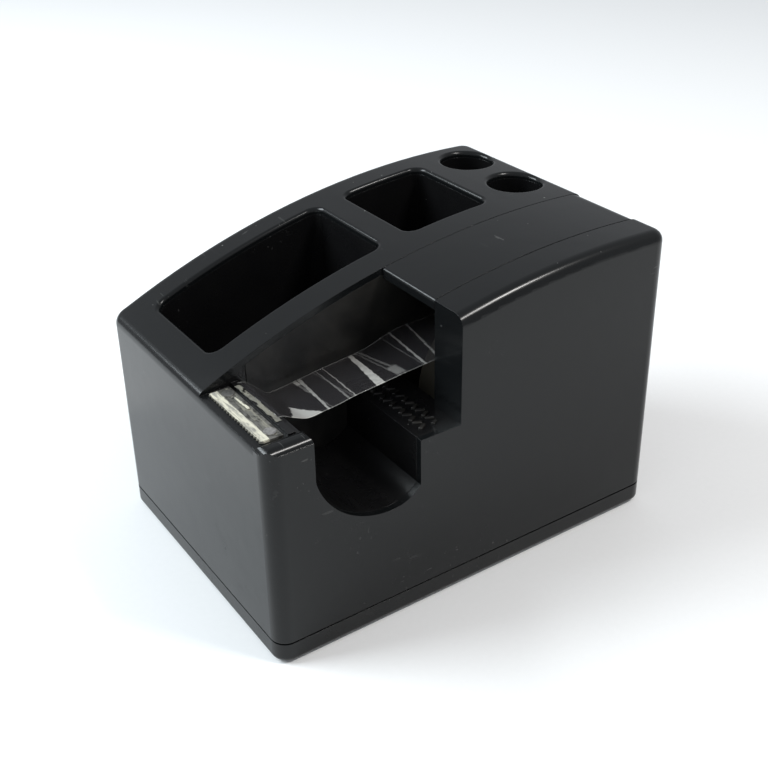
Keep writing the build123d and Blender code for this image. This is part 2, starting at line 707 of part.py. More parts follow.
save("drawer_tray", make_drawer_tray())
save("drawer_face", make_drawer_face())
save("drawer_screws", make_drawer_screws())
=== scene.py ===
import math

import bmesh
import bpy
from bpy.props import FloatProperty, FloatVectorProperty, IntProperty, PointerProperty
from mathutils import Matrix, Vector, noise


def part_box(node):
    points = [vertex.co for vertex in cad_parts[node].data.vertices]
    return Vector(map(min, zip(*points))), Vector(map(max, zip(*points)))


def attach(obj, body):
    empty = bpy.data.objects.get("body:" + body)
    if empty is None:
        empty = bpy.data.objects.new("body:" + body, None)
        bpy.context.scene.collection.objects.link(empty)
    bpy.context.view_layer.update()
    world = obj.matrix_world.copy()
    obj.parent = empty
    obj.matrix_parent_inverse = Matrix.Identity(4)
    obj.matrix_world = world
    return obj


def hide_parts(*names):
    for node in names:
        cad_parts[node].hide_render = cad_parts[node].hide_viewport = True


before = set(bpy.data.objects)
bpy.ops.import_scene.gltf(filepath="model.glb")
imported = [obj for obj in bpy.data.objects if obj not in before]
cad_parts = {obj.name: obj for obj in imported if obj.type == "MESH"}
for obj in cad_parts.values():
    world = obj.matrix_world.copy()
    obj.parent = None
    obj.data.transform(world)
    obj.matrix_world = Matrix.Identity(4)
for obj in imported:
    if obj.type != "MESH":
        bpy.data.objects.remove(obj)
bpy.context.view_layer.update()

bl_info = {
    "name": "Tape dispenser desk organizer",
    "version": (1, 0, 0),
    "blender": (4, 5, 0),
    "location": "View3D > Sidebar > Organizer",
    "description": "Dresses the black desk organizer with its tape, cutter wear, shelf ribs and studio",
    "category": "Object",
}

MM = 0.001

# Left front corner of the housing, on the table.
CORNER = Vector((*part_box("housing")[0].xy, 0.0))

# Creases across the loose tape: place on its left and right edge measured from the front face, half
# width at each edge, how white. Places and widths in millimetres.
CREASES = (
    (74.7, 70.5, 0.35, 0.45, 0.55),
    (67.8, 65.2, 0.25, 0.45, 0.75),
    (64.4, 64.4, 0.15, 0.2, 0.3),
    (55.6, 57.6, 0.5, 0.25, 0.35),
    (54.6, 55.6, 0.2, 0.3, 0.3),
    (52.6, 48.6, 0.7, 1.5, 0.95),
    (42.2, 39.5, 0.15, 0.3, 0.6),
    (39.8, 37.5, 0.12, 0.35, 0.45),
    (38.6, 38.9, 0.15, 0.2, 0.22),
    (33.6, 30.1, 0.55, 0.35, 0.75),
    (31.6, 31.4, 0.5, 0.12, 0.35),
)
CREASE_FADE = (-0.12, 0.1)  # from clear to white, inwards from a crease's half width, millimetres
UV_LENGTH = 100.0           # millimetres of tape in one unit of its UV map

# Right edge of the loose tape, in millimetres: distance from the front face and height. The line
# begins at the torn end on the cutter and ends on top of the roll.
TAPE_SAG = ((14.6, 76.9), (18.5, 74.9), (23.0, 73.3), (29.6, 73.7), (40.0, 75.0), (48.8, 75.9),
            (58.0, 76.7), (68.0, 77.4))
TORN_END_HIGH = 77.0
UNDER_LID = 88.0            # the tape is as high as the roll, less a little, from here back
BELOW_ROLL_TOP = 0.5
ABOVE_ROLL_TOP = 0.08
TEAR_DEEP = 0.5             # depth of the torn end's teeth and of their wander
TEAR_SLOPES = 15            # slopes of the teeth across the torn end

# Where the tape hangs slack: it leaves the cutter, is fully slack further back, and is straight again
# at the lid. Millimetres from the front face and along the tape.
SLACK_FROM, SLACK_GROWS = 14.6, 9.0
SLACK_TO, SLACK_FADES = 74.0, 20.0
SLACK_WAVES = 0.22          # height of the soft waves in it

TAPE_THICK = 0.06 * MM
SCRAP_THICK = 0.05 * MM

# Scraps on the cutter, in millimetres: where each begins, from the blade's left end; where it ends,
# from there too or, below zero, from the blade's right end; its front and back, from the front face;
# its height above the blade; how ragged it is; the number of its pattern; its slant.
GUM_SCRAPS = (
    (0.3, -0.2, 3.4, 6.0, 0.0, 0.3, 1.0, 0.2),
    (7.0, 15.0, 8.2, 9.0, 0.36, 0.35, 4.0, 0.5),
)
WORN_SCRAPS = (
    (0.6, -1.0, 7.3, 9.6, 0.0, 0.4, 9.0, -0.4),
    (1.5, -6.0, 11.5, 13.2, 0.45, 0.3, 13.0, 0.4),
)

# Ribs on the shelf, in millimetres: middle of each row from the front face, the bare ends of a row
# left and right, and the rounding of a rib's edges.
SHELF_ROWS = (56.6, 61.4)
ROW_ENDS = (4.0, 3.5)
RIB_ROUND = 0.3 * MM


def plan(x, y, z=0.0):
    """A place measured in millimetres from the left face, the front face and the table."""
    return CORNER + Vector((x, y, z)) * MM


# ---- finishes -----------------------------------------------------------------------------------

class Amount:
    """A socket that carries one number, with the sums that a finish is written in."""

    def __init__(self, finish, socket):
        self.finish = finish
        self.socket = socket

    def sum(self, operation, first, second=0.0):
        made = self.finish.node("ShaderNodeMath", {"operation": operation}, {0: first, 1: second})
        return Amount(self.finish, made.outputs[0])

    def __add__(self, other):
        return self.sum("ADD", self, other)

    __radd__ = __add__

    def __sub__(self, other):
        return self.sum("SUBTRACT", self, other)

    def __rsub__(self, other):
        return self.sum("SUBTRACT", other, self)

    def __mul__(self, other):
        return self.sum("MULTIPLY", self, other)

    __rmul__ = __mul__

    def __truediv__(self, other):
        return self.sum("DIVIDE", self, other)

    def __pow__(self, other):
        return self.sum("POWER", self, other)

    def size(self):
        return self.sum("ABSOLUTE", self)

    def most(self, other):
        return self.sum("MAXIMUM", self, other)

    def least(self, other):
        return self.sum("MINIMUM", self, other)

    def rise(self, low, high):
        """0 below low, 1 above high, smooth between; low may be above high for a fall."""
        made = self.finish.node("ShaderNodeMapRange", {"interpolation_type": "SMOOTHSTEP"},
                                {"Value": self, "From Min": low, "From Max": high})
        return Amount(self.finish, made.outputs["Result"])


class Finish:
    """One material, with every node made by node()."""

    def __init__(self, name):
        self.material = bpy.data.materials.new(name)
        self.material.use_nodes = True
        self.tree = self.material.node_tree
        self.tree.nodes.clear()
        self.where = self.node("ShaderNodeTexCoord").outputs["Object"]

    def node(self, kind, settings=None, values=None):
        """Adds a node, sets its settings, then gives its sockets their values or links."""
        made = self.tree.nodes.new(kind)
        for key, value in (settings or {}).items():
            setattr(made, key, value)
        for key, value in (values or {}).items():
            socket = made.inputs[key]
            if isinstance(value, Amount):
                value = value.socket
            if isinstance(value, bpy.types.NodeSocket):
                self.tree.links.new(value, socket)
            else:
                socket.default_value = value
        return made

    def amount(self, socket):
        """A socket as a number to reckon with."""
        return Amount(self, socket)

    def stretched(self, size, turn=(0, 0, 0), shift=(0, 0, 0), start=None):
        """Object coordinates, or other ones to start from, scaled, turned and shifted."""
        made = self.node("ShaderNodeMapping", {}, {
            "Vector": start or self.where, "Scale": size, "Rotation": turn, "Location": shift})
        return made.outputs["Vector"]

    def cloud(self, scale, detail=3.0, rough=0.5, vector=None, twist=0.0):
        """Soft noise from 0 to 1, its scale in patches a metre."""
        made = self.node("ShaderNodeTexNoise", {}, {
            "Vector": vector or self.where, "Scale": scale, "Detail": detail, "Roughness": rough,
            "Distortion": twist})
        return self.amount(made.outputs[0])

    def rings(self, radius, scale, detail):
        """Noise that changes only with the radius."""
        made = self.node("ShaderNodeTexNoise", {"noise_dimensions": "1D"}, {
            "W": radius, "Scale": scale, "Detail": detail})
        return self.amount(made.outputs[0])

    def specks(self, scale, reach, share):
        """Small round dots, one in a share of the cells."""
        made = self.node("ShaderNodeTexVoronoi", {}, {"Vector": self.where, "Scale": scale})
        pick = self.node("ShaderNodeSeparateColor", {}, {"Color": made.outputs["Color"]})
        chosen = self.amount(pick.outputs[0]).rise(1 - share, 1 - share + 0.01)
        return self.amount(made.outputs["Distance"]).rise(reach, reach * 0.5) * chosen

    def axes(self, vector=None):
        """The three numbers of a place."""
        made = self.node("ShaderNodeSeparateXYZ", {}, {"Vector": vector or self.where})
        return [self.amount(made.outputs[n]) for n in range(3)]

    def mix(self, factor, first, second):
        """A colour between two."""
        made = self.node("ShaderNodeMix", {"data_type": "RGBA"}, {0: factor, 6: first, 7: second})
        return made.outputs[2]

    def bump(self, height, strength, depth=0.0001, normal=None):
        """Normals of a height, on top of other normals if given."""
        values = {"Height": height, "Strength": strength, "Distance": depth}
        if normal is not None:
            values["Normal"] = normal
        return self.node("ShaderNodeBump", {}, values).outputs["Normal"]

    def soft_edges(self, radius):
        """Normals that run round sharp edges, as a mould's corners do."""
        return self.node("ShaderNodeBevel", {"samples": 8}, {"Radius": radius}).outputs["Normal"]

    def surface(self, **values):
        """Ends the material with one shader, its sockets named with _ for a space."""
        named = {key.replace("_", " "): value for key, value in values.items()}
        shader = self.node("ShaderNodeBsdfPrincipled", {}, named)
        self.node("ShaderNodeOutputMaterial", {}, {"Surface": shader.outputs[0]})
        return self.material


def rgba(colour, level=1.0):
    """A colour for a socket, made lighter or darker by level."""
    return (colour[0] * level, colour[1] * level, colour[2] * level, 1.0)


def moulded_black(name, colour, gloss, dust=0.0, pebble=0.02):
    """Injection-moulded black plastic: faint waviness, wiping haze, hair scratches and dust specks."""
    f = Finish(name)
    haze = 0.5    # how strongly wiping and fingerprints show
    wipe = f.cloud(26, 4, 0.62, twist=0.6).rise(0.42, 0.72)
    prints = f.cloud(70, 3, 0.6, twist=1.2).rise(0.56, 0.7) * f.cloud(14, 2).rise(0.48, 0.62)
    hair = (f.cloud(9, 2, 0.5, f.stretched((9, 90, 60), (0.3, 0.5, 0.9))).rise(0.688, 0.7)
            .most(f.cloud(8, 2, 0.5, f.stretched((80, 10, 50), (0.9, 0.2, 0.4))).rise(0.69, 0.702)))
    hair = hair * f.cloud(30, 2).rise(0.56, 0.72)
    dots = f.specks(210, 0.085, 0.10).most(f.specks(480, 0.09, 0.05))
    film = f.cloud(60, 4, 0.6).rise(0.25, 0.9) * dust
    tone = f.mix(prints * 0.35 * haze, rgba(colour), rgba(colour, 2.2))
    tone = f.mix(film, tone, (0.16, 0.15, 0.13, 1.0))
    tone = f.mix((dots * 0.4 + hair * 0.12).least(1.0), tone, (0.3, 0.3, 0.29, 1.0))
    rough = gloss + wipe * 0.07 * haze + prints * 0.12 * haze + dots * 0.35 + film * 0.5
    waves = f.cloud(95, 2, 0.4)
    grain = f.cloud(1500, 2, 0.5)
    normal = f.bump(waves, 0.16, 0.0004, f.soft_edges(0.0002))
    normal = f.bump(grain, pebble * 4, 0.00005, normal)
    return f.surface(Base_Color=tone, Roughness=rough.least(0.9), IOR=1.46,
                     Specular_IOR_Level=0.3, Normal=normal)


def worn_steel(name, gum_back):
    """Cutter steel: brushed along its length, tarnished, with gum on its front as far as gum_back."""
    f = Finish(name)
    from_front = f.axes(f.stretched((1, 1, 1), shift=tuple(-CORNER)))[1]
    brushed = f.cloud(7, 3, 0.6, f.stretched((40, 1600, 400)))
    stain = f.cloud(420, 4, 0.65).rise(0.42, 0.62)
    gum = f.cloud(210, 4, 0.7, f.stretched((0.35, 1.4, 1)))
    gum = gum.rise(0.36, 0.5) * from_front.rise(gum_back, gum_back - 0.6 * MM)
    seamy = f.cloud(160, 2, 0.6, f.stretched((0.2, 5, 1))).rise(0.52, 0.6)
    steel = f.mix(stain, (0.26, 0.255, 0.235, 1), (0.09, 0.088, 0.08, 1))
    cream = f.mix(seamy, (0.56, 0.54, 0.44, 1), (0.36, 0.35, 0.3, 1))
    return f.surface(Base_Color=f.mix(gum, steel, cream), Metallic=0.85 - gum * 0.8,
                     Roughness=(0.3 + brushed * 0.2 + gum * 0.25).least(0.9),
                     Normal=f.bump(brushed + gum, 0.35, 0.00006))


def plated(name, colour, gloss):
    """Zinc or turned steel: fine rings and spots."""
    f = Finish(name)
    turned = f.cloud(900, 3, 0.6)
    spots = f.specks(900, 0.2, 0.2)
    return f.surface(Base_Color=f.mix(turned.rise(0.35, 0.7), rgba(colour), rgba(colour, 0.6)), Metallic=0.95,
                     Roughness=gloss + turned * 0.15 + spots * 0.2, Normal=f.bump(turned, 0.2, 0.00004))


def painted_weight(name):
    """Rough grey primer on the steel block."""
    f = Finish(name)
    coarse = f.cloud(380, 5, 0.7)
    return f.surface(Base_Color=f.mix(coarse.rise(0.4, 0.66), (0.12, 0.12, 0.125, 1), (0.05, 0.05, 0.052, 1)),
                     Roughness=0.55 + coarse * 0.2, Metallic=0.1, Normal=f.bump(coarse, 0.5, 0.0002))


def soft_rubber(name):
    """Dull rubber with a little grime."""
    f = Finish(name)
    skin = f.cloud(1100, 4, 0.6)
    grime = f.cloud(260, 3).rise(0.5, 0.7)
    return f.surface(Base_Color=f.mix(grime, (0.018, 0.018, 0.018, 1), (0.07, 0.066, 0.06, 1)),
                     Roughness=0.7 + skin * 0.15, Normal=f.bump(skin, 0.4, 0.00008))


def wound_film(name, axis_y, axis_z):
    """Side of the roll: fine winding rings; outside: glossy clear film over the layers below."""
    f = Finish(name)
    _, y, z = f.axes()
    dy, dz = y - axis_y, z - axis_z
    radius = (dy * dy + dz * dz) ** 0.5
    rings = f.rings(radius, 2600.0, 3.0)
    bands = f.rings(radius, 300.0, 2.0)
    # The roll's colours are darker than clear tape's own: painted shade for the dark chamber under the lid.
    # The rings and bands are the real winding.
    tone = f.mix(rings.rise(0.35, 0.65), (0.10, 0.095, 0.075, 1), (0.17, 0.16, 0.13, 1))
    tone = f.mix(bands.rise(0.5, 0.7), tone, (0.07, 0.065, 0.05, 1))
    return f.surface(Base_Color=tone, Roughness=0.16 + rings * 0.2, Normal=f.bump(rings, 0.25, 0.00005))


def core_card(name):
    """Grey-brown card with long fibres and dark flecks."""
    f = Finish(name)
    fibre = f.cloud(600, 5, 0.7, f.stretched((2.5, 1, 1)))
    flecks = f.specks(900, 0.18, 0.12)
    tone = f.mix(fibre.rise(0.35, 0.7), (0.33, 0.24, 0.15, 1), (0.45, 0.35, 0.24, 1))
    return f.surface(Base_Color=f.mix(flecks * 0.6, tone, (0.16, 0.11, 0.07, 1)), Roughness=0.85,
                     Normal=f.bump(fibre, 0.5, 0.0001))


def clear_tape(name, whitest, width):
    """Clear film with white creases across it, air patches and a bright cut edge, on the film's own UV."""
    f = Finish(name)
    sheet = f.node("ShaderNodeUVMap", {"uv_map": "film"}).outputs["UV"]
    u, v, _ = f.axes(sheet)
    across, along = u * width, v * UV_LENGTH
    fine = f.cloud(1.6, 4.0, 0.7, f.stretched((3.0, 90.0, 1.0), (0, 0, 0.03), start=sheet), 0.4)
    ragged = f.cloud(2.0, 3.0, 0.5, f.stretched((8.0, 30.0, 1.0), start=sheet))
    white = fine.rise(0.66, 0.74) * 0.4
    share = across / width
    for left, right, thin, thick, level in CREASES:
        off = (along - (left + share * (right - left)) + (ragged - 0.5) * 1.1).size()
        half = thin + share * (thick - thin)
        line = (half - off).rise(*CREASE_FADE) * level
        white = white.most(line * (0.55 + ragged * 0.8).least(1.0))
    # air under the film: a pale patch near the cutter and a fainter one by the lid
    edge = (ragged - 0.5) * 5.0
    near = ((along + edge * 0.5 + across * 0.42).rise(27.6, 28.3) * (along + edge * 0.3).rise(28.6, 27.4)
            * (along - across * 0.62 + edge * 0.4).rise(13.8, 13.0) * across.rise(9.0, 10.0))
    faint = ((along - 56.8).size() + edge * 0.3).rise(2.2, 1.2) * (across - 20.0).size().rise(4.0, 2.2)
    bright = ((along - 31.9).size() + edge * 0.1).rise(0.9, 0.4) * across.rise(4.6, 3.0)
    white = white.most(near * 0.9).most(faint * 0.45).most(bright * 0.8)
    cut = across.rise(0.5, 0.25).most(across.rise(width - 0.45, width - 0.2))
    tone = f.mix(white, (0.05, 0.047, 0.05, 1), rgba(whitest))
    alpha = (0.2 + white * 0.75 + cut * 0.3).least(1.0)
    return f.surface(Base_Color=f.mix(cut * 0.5, tone, (0.6, 0.6, 0.56, 1)), Alpha=alpha,
                     Roughness=0.10 + white * 0.35, IOR=1.48,
                     Normal=f.bump(ragged + white * 0.3, 0.12, 0.0003))


def scrap_film(name, cream, grey, holes):
    """Old scraps of tape on the cutter: cream gum, scratched grey where the gum has gone."""
    f = Finish(name)
    worn = f.cloud(420, 5, 0.72, f.stretched((0.35, 1.3, 1), (0, 0, 0.15)))
    torn = f.cloud(700, 3, 0.6, f.stretched((0.5, 1, 1)))
    lines = f.cloud(1.0, 2, 0.5, f.stretched((120, 2600, 100), (0, 0, 0.1))).rise(0.56, 0.64)
    tone = f.mix(worn.rise(0.44, 0.6), rgba(cream), rgba(grey))
    tone = f.mix(lines * 0.6, tone, (0.10, 0.10, 0.09, 1))
    return f.surface(Base_Color=tone, Roughness=0.34 + worn * 0.3, Alpha=torn.rise(holes, holes + 0.04),
                     Normal=f.bump(worn + lines, 0.5, 0.00012))


# ---- building pieces ----------------------------------------------------------------------------

def finished_piece(bm, name, body, material, smooth=False):
    """Makes the object from its bmesh, with its place in the mesh, and lets it ride on its body."""
    bmesh.ops.recalc_face_normals(bm, faces=bm.faces)
    mesh = bpy.data.meshes.new(name)
    bm.to_mesh(mesh)
    bm.free()
    mesh.materials.append(material)
    for poly in mesh.polygons:
        poly.use_smooth = smooth
    made = bpy.data.objects.new(name, mesh)
    bpy.context.scene.collection.objects.link(made)
    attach(made, body)
    return made


def thickened(sheet, thickness):
    """Gives a sheet its thickness, half on each side."""
    skin = sheet.modifiers.new("film thickness", "SOLIDIFY")
    skin.thickness, skin.offset = thickness, 0


def dress(material, *names):
    """Gives the finish to these solids."""
    for name in names:
        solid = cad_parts[name]
        if not solid.material_slots:
            solid.data.materials.append(material)
        for place in solid.material_slots:
            place.material = material


def eased(places, y):
    """Height at y on a smooth line through (y, z) places."""
    last = len(places) - 1
    k = max(n for n in range(last) if places[n][0] <= y or n == 0)
    (y0, z0), (y1, z1) = places[k], places[k + 1]
    slopes = []
    for n in (k, k + 1):
        a, b = places[max(n - 1, 0)], places[min(n + 1, last)]
        slopes.append((b[1] - a[1]) / (b[0] - a[0]))
    run = y1 - y0
    t = (y - y0) / run
    return (z0 * (2 * t ** 3 - 3 * t ** 2 + 1) + slopes[0] * run * (t ** 3 - 2 * t ** 2 + t)
            + z1 * (3 * t ** 2 - 2 * t ** 3) + slopes[1] * run * (t ** 3 - t ** 2))


# ---- what a user would change -------------------------------------------------------------------

class ShellProps(bpy.types.PropertyGroup):
    shell_black: FloatVectorProperty(name="Shell", description="Colour of the outer mouldings",
                                     subtype="COLOR", size=3, min=0, max=1, default=(0.0048, 0.0054, 0.0058))
    inner_black: FloatVectorProperty(name="Inner parts", description="Colour of trays, bay and cutter block",
                                     subtype="COLOR", size=3, min=0, max=1, default=(0.0042, 0.0042, 0.0046))
    shell_gloss: FloatProperty(name="Shell roughness", description="Lower is shinier", default=0.2,
                               min=0.02, max=1, subtype="FACTOR")
    dust: FloatProperty(name="Dust", description="Dust film on the inner walls", default=0.12,
                        min=0, max=1, subtype="FACTOR")


class TapeProps(bpy.types.PropertyGroup):
    sag_left: FloatProperty(name="Left edge sag", description="How much lower the tape's left edge hangs",
                            default=0.0031, unit="LENGTH")
    end_y: FloatProperty(name="End", description="Where the tape ends, from the front face",
                         default=0.0132, unit="LENGTH")
    whitest: FloatVectorProperty(name="Crease white", description="Colour of creases and trapped air",
                                 subtype="COLOR", size=3, min=0, max=1, default=(0.36, 0.355, 0.335))


class CutterProps(bpy.types.PropertyGroup):
    cream: FloatVectorProperty(name="Gum", description="Colour of old gum and scraps", subtype="COLOR",
                               size=3, min=0, max=1, default=(0.56, 0.54, 0.44))
    grey: FloatVectorProperty(name="Worn film", description="Colour of scraps without gum", subtype="COLOR",
                              size=3, min=0, max=1, default=(0.24, 0.235, 0.21))
    lift: FloatProperty(name="Lift", description="Scraps above what they lie on", default=0.00006,
                        unit="LENGTH")


class ShelfProps(bpy.types.PropertyGroup):
    ribs: IntProperty(name="Ribs a row", description="Raised ribs in each row", default=13, min=2, max=24)
    rib_long: FloatProperty(name="Rib length", description="Along the row", default=0.0013, unit="LENGTH")
    rib_wide: FloatProperty(name="Rib width", description="Across the row", default=0.0031, unit="LENGTH")
    rib_high: FloatProperty(name="Rib height", description="Above the shelf", default=0.0006, unit="LENGTH")
    rib_turn: FloatProperty(name="Rib slant", description="Each rib leans the other way", default=0.5,
                            subtype="ANGLE")


class StudioProps(bpy.types.PropertyGroup):
    aim: FloatVectorProperty(name="Aim", description="Point the camera looks at", subtype="TRANSLATION",
                             size=3, default=(-0.02925, 0.00911, 0.04964))
    azimuth: FloatProperty(name="Azimuth", description="Round from the front towards the right",
                           default=math.radians(57.5), subtype="ANGLE")
    elevation: FloatProperty(name="Elevation", description="Above the table", default=math.radians(28.74),
                             subtype="ANGLE")
    roll: FloatProperty(name="Roll", description="Camera's tilt to the side", default=math.radians(-1.66),
                        subtype="ANGLE")
    distance: FloatProperty(name="Distance", description="Camera to aim", default=0.436, unit="LENGTH")
    lens: FloatProperty(name="Lens", description="Focal length on a 36 mm sensor", default=55.84, min=10)
    shift_x: FloatProperty(name="Shift X", description="Sideways framing", default=0.03125)
    shift_y: FloatProperty(name="Shift Y", description="Upright framing", default=-0.0573)
    key: FloatProperty(name="Key light", description="Watts of the large soft light", default=17.0)
    sky: FloatProperty(name="Room light", description="Strength of the even light", default=0.52)


# ---- operators ----------------------------------------------------------------------------------

class MOULD_OT_finish(bpy.types.Operator):
    """Finishes the black mouldings: shell, lid, base, trays, bay, cutter block and drawer"""
    bl_idname = "organizer.mouldings"
    bl_label = "Black mouldings"

    def execute(self, context):
        p = context.scene.organizer_shell
        shell = moulded_black("shell_black", p.shell_black, p.shell_gloss)
        dress(shell, "housing", "tape_lid", "drawer_face")
        dress(moulded_black("base_black", p.shell_black, p.shell_gloss + 0.05, 0.03), "base_plate")
        inner = moulded_black("inner_black", p.inner_black, p.shell_gloss + 0.06, p.dust * 0.12, pebble=0.05)
        dress(inner, "front_tray", "rear_tray", "pen_tube_left", "pen_tube_right", "roll_bay", "cradle_left",
              "cradle_right", "cutter_block", "drawer_tray", "roll_hub", "rail_front", "rail_rear",
              "trough_panel")
        dress(moulded_black("side_panel_black", p.inner_black, p.shell_gloss + 0.1, p.dust), "divider_panel")
        return {"FINISHED"}


class SMALL_OT_parts(bpy.types.Operator):
    """Finishes the cutter steel, axle, pins, screws, ballast, feet, card core and the wound roll"""
    bl_idname = "organizer.small_parts"
    bl_label = "Metal, rubber, card and roll"

    def execute(self, context):
        dress(worn_steel("cutter_steel", 6.4 * MM), "cutter_blade")
        dress(plated("turned_steel", (0.56, 0.55, 0.53), 0.22), "hub_axle", "hinge_pin", "blade_pins")
        dress(plated("zinc_plate", (0.58, 0.6, 0.62), 0.3), "base_screws", "ballast_screws", "drawer_screws")
        dress(painted_weight("grey_primer"), "ballast_weight")
        dress(soft_rubber("foot_rubber"), "foot_fl", "foot_bl", "foot_fr", "foot_br")
        low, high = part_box("hub_axle")
        middle = (low + high) / 2
        dress(wound_film("wound_tape", middle.y, middle.z), "tape_roll")
        dress(core_card("card_core"), "roll_core")
        return {"FINISHED"}


class TAPE_OT_end(bpy.types.Operator):
    """Lays the loose tape from the roll over the shelf and trough onto the cutter, twisted and creased"""
    bl_idname = "organizer.tape_end"
    bl_label = "Loose tape"

    def execute(self, context):
        p = context.scene.organizer_tape
        low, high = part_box("tape_strip")
        roll_low, roll_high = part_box("tape_roll")
        top = (roll_high.z - CORNER.z) / MM
        back = ((roll_low.y + roll_high.y) / 2 - CORNER.y) / MM
        front = p.end_y / MM
        middle = (low.x + high.x) / 2
        width, run = high.x - low.x, back - front
        sagged = ((front, TORN_END_HIGH), *TAPE_SAG, (UNDER_LID, top - BELOW_ROLL_TOP),
                  (back, top + ABOVE_ROLL_TOP))
        bm = bmesh.new()
        uv = bm.loops.layers.uv.new("film")
        bmesh.ops.create_grid(bm, x_segments=16, y_segments=110, size=0.5)
        spots = {}
        for v in bm.verts:
            u, t = v.co.x + 0.5, v.co.y + 0.5
            # the free end was torn off along the teeth
            y = front + run * t
            if t < 0.001:
                y -= TEAR_DEEP * (abs((u * TEAR_SLOPES) % 2 - 1) + noise.noise((u * 6, 1.0, 2.0)))
            slack = (min(max((y - SLACK_FROM) / SLACK_GROWS, 0), 1)
                     * min(max((SLACK_TO - y) / SLACK_FADES, 0), 1))
            slack = slack * slack * (3 - 2 * slack)
            z = eased(sagged, y) - (1 - u) * slack * p.sag_left / MM
            z += SLACK_WAVES * slack * noise.noise((u * 1.3, y * 0.16, 3.0))
            spots[v] = (u, y)
            v.co = CORNER + Vector((0, y * MM, z * MM))
            v.co.x = middle + (u - 0.5) * width
        for face in bm.faces:
            for loop in face.loops:
                u, y = spots[loop.vert]
                loop[uv].uv = (u, y / UV_LENGTH)
        tape = finished_piece(bm, "loose_tape", "body", clear_tape("clear_tape", p.whitest, width / MM),
                              smooth=True)
        thickened(tape, TAPE_THICK)
        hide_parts("tape_strip")
        return {"FINISHED"}


class SCRAP_OT_cutter(bpy.types.Operator):
    """Lays the old scraps of tape and gum on the cutter, behind and on the blade"""
    bl_idname = "organizer.cutter_scraps"
    bl_label = "Scraps on the cutter"

    def strip(self, bm, x0, x1, y0, y1, z, wander, seed, turn):
        """One flat scrap with ragged edges, all in millimetres."""
        before = set(bm.verts)
        bmesh.ops.create_grid(bm, x_segments=60, y_segments=4, size=0.5)
        for v in [v for v in bm.verts if v not in before]:
            u, t = v.co.x + 0.5, v.co.y + 0.5
            x = x0 + (x1 - x0) * u
            rag = noise.noise((x * 0.35, seed, t * 1.5)) + 0.6 * noise.noise((x * 1.1, seed + 5, t * 1.5))
            y = y0 + (y1 - y0) * t + turn * (u - 0.5) + wander * rag * (0.4 + abs(t - 0.5))
            if u < 0.01 or u > 0.99:
                x += wander * noise.noise((seed, t * 3.0, 7.0))
            v.co = plan(x, y, z + 0.05 * (1 + noise.noise((x * 0.3, y * 0.5, seed))))

    def scraps(self, places, name, material, lift):
        """One thin piece of several scraps on the blade and the ridge."""
        low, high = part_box("cutter_blade")
        left, right = (low.x - CORNER.x) / MM, (high.x - CORNER.x) / MM
        bm = bmesh.new()
        for x0, x1, y0, y1, up, wander, seed, turn in places:
            end = (right if x1 < 0 else left) + x1
            self.strip(bm, left + x0, end, y0, y1, (high.z + lift) / MM + up, wander, seed, turn)
        thickened(finished_piece(bm, name, "body", material), SCRAP_THICK)

    def execute(self, context):
        p = context.scene.organizer_cutter
        self.scraps(GUM_SCRAPS, "gum_band", scrap_film("scrap_cream", p.cream, p.grey, 0.30), p.lift)
        dull, dark = [c * 0.34 for c in p.cream], [c * 0.4 for c in p.grey]
        self.scraps(WORN_SCRAPS, "worn_scraps", scrap_film("scrap_grey", dull, dark, 0.42), p.lift)
        return {"FINISHED"}


class SHELF_OT_ribs(bpy.types.Operator):
    """Raises two rows of plain short ribs on the shelf under the tape"""
    bl_idname = "organizer.shelf_ribs"
    bl_label = "Shelf ribs"

    def execute(self, context):
        p = context.scene.organizer_shelf
        low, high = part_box("trough_panel")
        left, right = (low.x - CORNER.x) / MM + ROW_ENDS[0], (high.x - CORNER.x) / MM - ROW_ENDS[1]
        bm = bmesh.new()
        for row in SHELF_ROWS:
            for n in range(p.ribs):
                x = left + (right - left) * n / (p.ribs - 1)
                spot = plan(x, row, (high.z - CORNER.z) / MM)
                rib = bmesh.ops.create_cube(bm, size=1.0)["verts"]
                bmesh.ops.scale(bm, verts=rib, vec=(p.rib_long, p.rib_wide, p.rib_high * 2))
                bmesh.ops.rotate(bm, verts=rib, matrix=Matrix.Rotation(p.rib_turn * (-1) ** n, 3, "Z"))
                bmesh.ops.translate(bm, verts=rib, vec=spot)
                edges = list({e for v in rib for e in v.link_edges})
                bmesh.ops.bevel(bm, geom=edges, offset=RIB_ROUND, offset_type="OFFSET", segments=2,
                                profile=0.5, affect="EDGES", material=-1)
        shell = context.scene.organizer_shell
        finished_piece(bm, "shelf_ribs", "body", moulded_black("rib_black", shell.inner_black, 0.22, 0.2),
                       smooth=True)
        return {"FINISHED"}


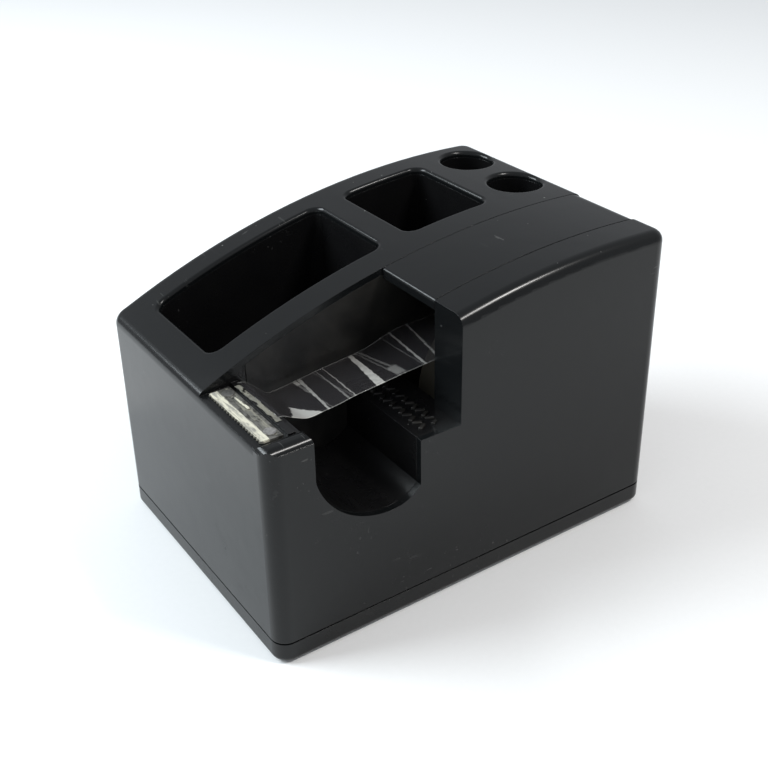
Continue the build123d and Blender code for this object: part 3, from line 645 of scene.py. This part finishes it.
class STUDIO_OT_build(bpy.types.Operator):
    """Sets up the pale floor, the soft lights and the camera"""
    bl_idname = "organizer.studio"
    bl_label = "Studio and camera"

    def area(self, name, place, aim, size, watts, colour):
        """One soft light, turned towards its aim."""
        light = bpy.data.lights.new(name, "AREA")
        light.shape, light.size, light.size_y = "RECTANGLE", size[0], size[1]
        light.energy, light.color = watts, colour
        made = bpy.data.objects.new(name, light)
        made.location = place
        made.rotation_euler = (Vector(aim) - Vector(place)).to_track_quat("-Z", "Y").to_euler()
        bpy.context.scene.collection.objects.link(made)

    def execute(self, context):
        p = context.scene.organizer_studio
        scene = context.scene
        bm = bmesh.new()
        bmesh.ops.create_grid(bm, x_segments=2, y_segments=2, size=3.0)
        mesh = bpy.data.meshes.new("table_top")
        bm.to_mesh(mesh)
        bm.free()
        table = bpy.data.objects.new("table_top", mesh)
        scene.collection.objects.link(table)
        paper = Finish("pale_paper")
        tooth = paper.cloud(500, 3, 0.5)
        mesh.materials.append(paper.surface(
            Base_Color=paper.mix(tooth, (0.86, 0.86, 0.86, 1), (0.89, 0.89, 0.89, 1)), Roughness=0.9,
            Normal=paper.bump(tooth, 0.05, 0.0002)))

        world = bpy.data.worlds.new("room")
        scene.world = world
        world.use_nodes = True
        sheet = world.node_tree
        sheet.nodes["Background"].inputs["Color"].default_value = (0.93, 0.96, 1.0, 1)
        sheet.nodes["Background"].inputs["Strength"].default_value = p.sky
        self.area("key_window", (-0.55, -0.75, 0.75), (0, 0, 0.03), (0.8, 0.5), p.key, (0.88, 0.96, 1.0))
        self.area("edge_strip", (0.5, 0.35, 0.85), (0, 0, 0.08), (0.25, 0.1), p.key * 0.3, (1.0, 0.98, 0.95))

        back = Vector((math.sin(p.azimuth) * math.cos(p.elevation),
                       -math.cos(p.azimuth) * math.cos(p.elevation), math.sin(p.elevation)))
        right = (-back).cross(Vector((0, 0, 1))).normalized()
        up = right.cross(-back)
        side = right * math.cos(p.roll) + up * math.sin(p.roll)
        top = up * math.cos(p.roll) - right * math.sin(p.roll)
        lens = bpy.data.cameras.new("photo_camera")
        lens.lens, lens.sensor_width, lens.sensor_fit = p.lens, 36.0, "HORIZONTAL"
        lens.shift_x, lens.shift_y = p.shift_x, p.shift_y
        lens.clip_start, lens.clip_end = 0.01, 20.0
        camera = bpy.data.objects.new("photo_camera", lens)
        turn = Matrix((side, top, back)).transposed().to_4x4()
        camera.matrix_world = Matrix.Translation(Vector(p.aim) + back * p.distance) @ turn
        scene.collection.objects.link(camera)
        scene.camera = camera
        scene.view_settings.view_transform = "Standard"
        scene.view_settings.look = "None"
        return {"FINISHED"}


class ORGANIZER_PT_panel(bpy.types.Panel):
    """Lists the steps that dress the organizer"""
    bl_idname = "ORGANIZER_PT_panel"
    bl_label = "Organizer"
    bl_space_type = "VIEW_3D"
    bl_region_type = "UI"
    bl_category = "Organizer"

    def draw(self, context):
        for group, steps in GROUPS:
            box = self.layout.box()
            if group:
                values = getattr(context.scene, group)
                for key in values.bl_rna.properties.keys():
                    if key not in ("rna_type", "name"):
                        box.prop(values, key)
            for step in steps:
                box.operator(step.bl_idname)


GROUPS = (
    ("organizer_shell", (MOULD_OT_finish,)),
    ("", (SMALL_OT_parts,)),
    ("organizer_tape", (TAPE_OT_end,)),
    ("organizer_cutter", (SCRAP_OT_cutter,)),
    ("organizer_shelf", (SHELF_OT_ribs,)),
    ("organizer_studio", (STUDIO_OT_build,)),
)
VALUES = {
    "organizer_shell": ShellProps,
    "organizer_tape": TapeProps,
    "organizer_cutter": CutterProps,
    "organizer_shelf": ShelfProps,
    "organizer_studio": StudioProps,
}


def register():
    for group in VALUES.values():
        bpy.utils.register_class(group)
    for name, group in VALUES.items():
        setattr(bpy.types.Scene, name, PointerProperty(type=group))
    for _, steps in GROUPS:
        for step in steps:
            bpy.utils.register_class(step)
    bpy.utils.register_class(ORGANIZER_PT_panel)


def unregister():
    bpy.utils.unregister_class(ORGANIZER_PT_panel)
    for _, steps in reversed(GROUPS):
        for step in steps:
            bpy.utils.unregister_class(step)
    for name, group in VALUES.items():
        delattr(bpy.types.Scene, name)
        bpy.utils.unregister_class(group)


def main():
    register()
    bpy.ops.organizer.studio()
    bpy.ops.organizer.mouldings()
    bpy.ops.organizer.small_parts()
    bpy.ops.organizer.tape_end()
    bpy.ops.organizer.cutter_scraps()
    bpy.ops.organizer.shelf_ribs()


if __name__ == "__main__":
    main()
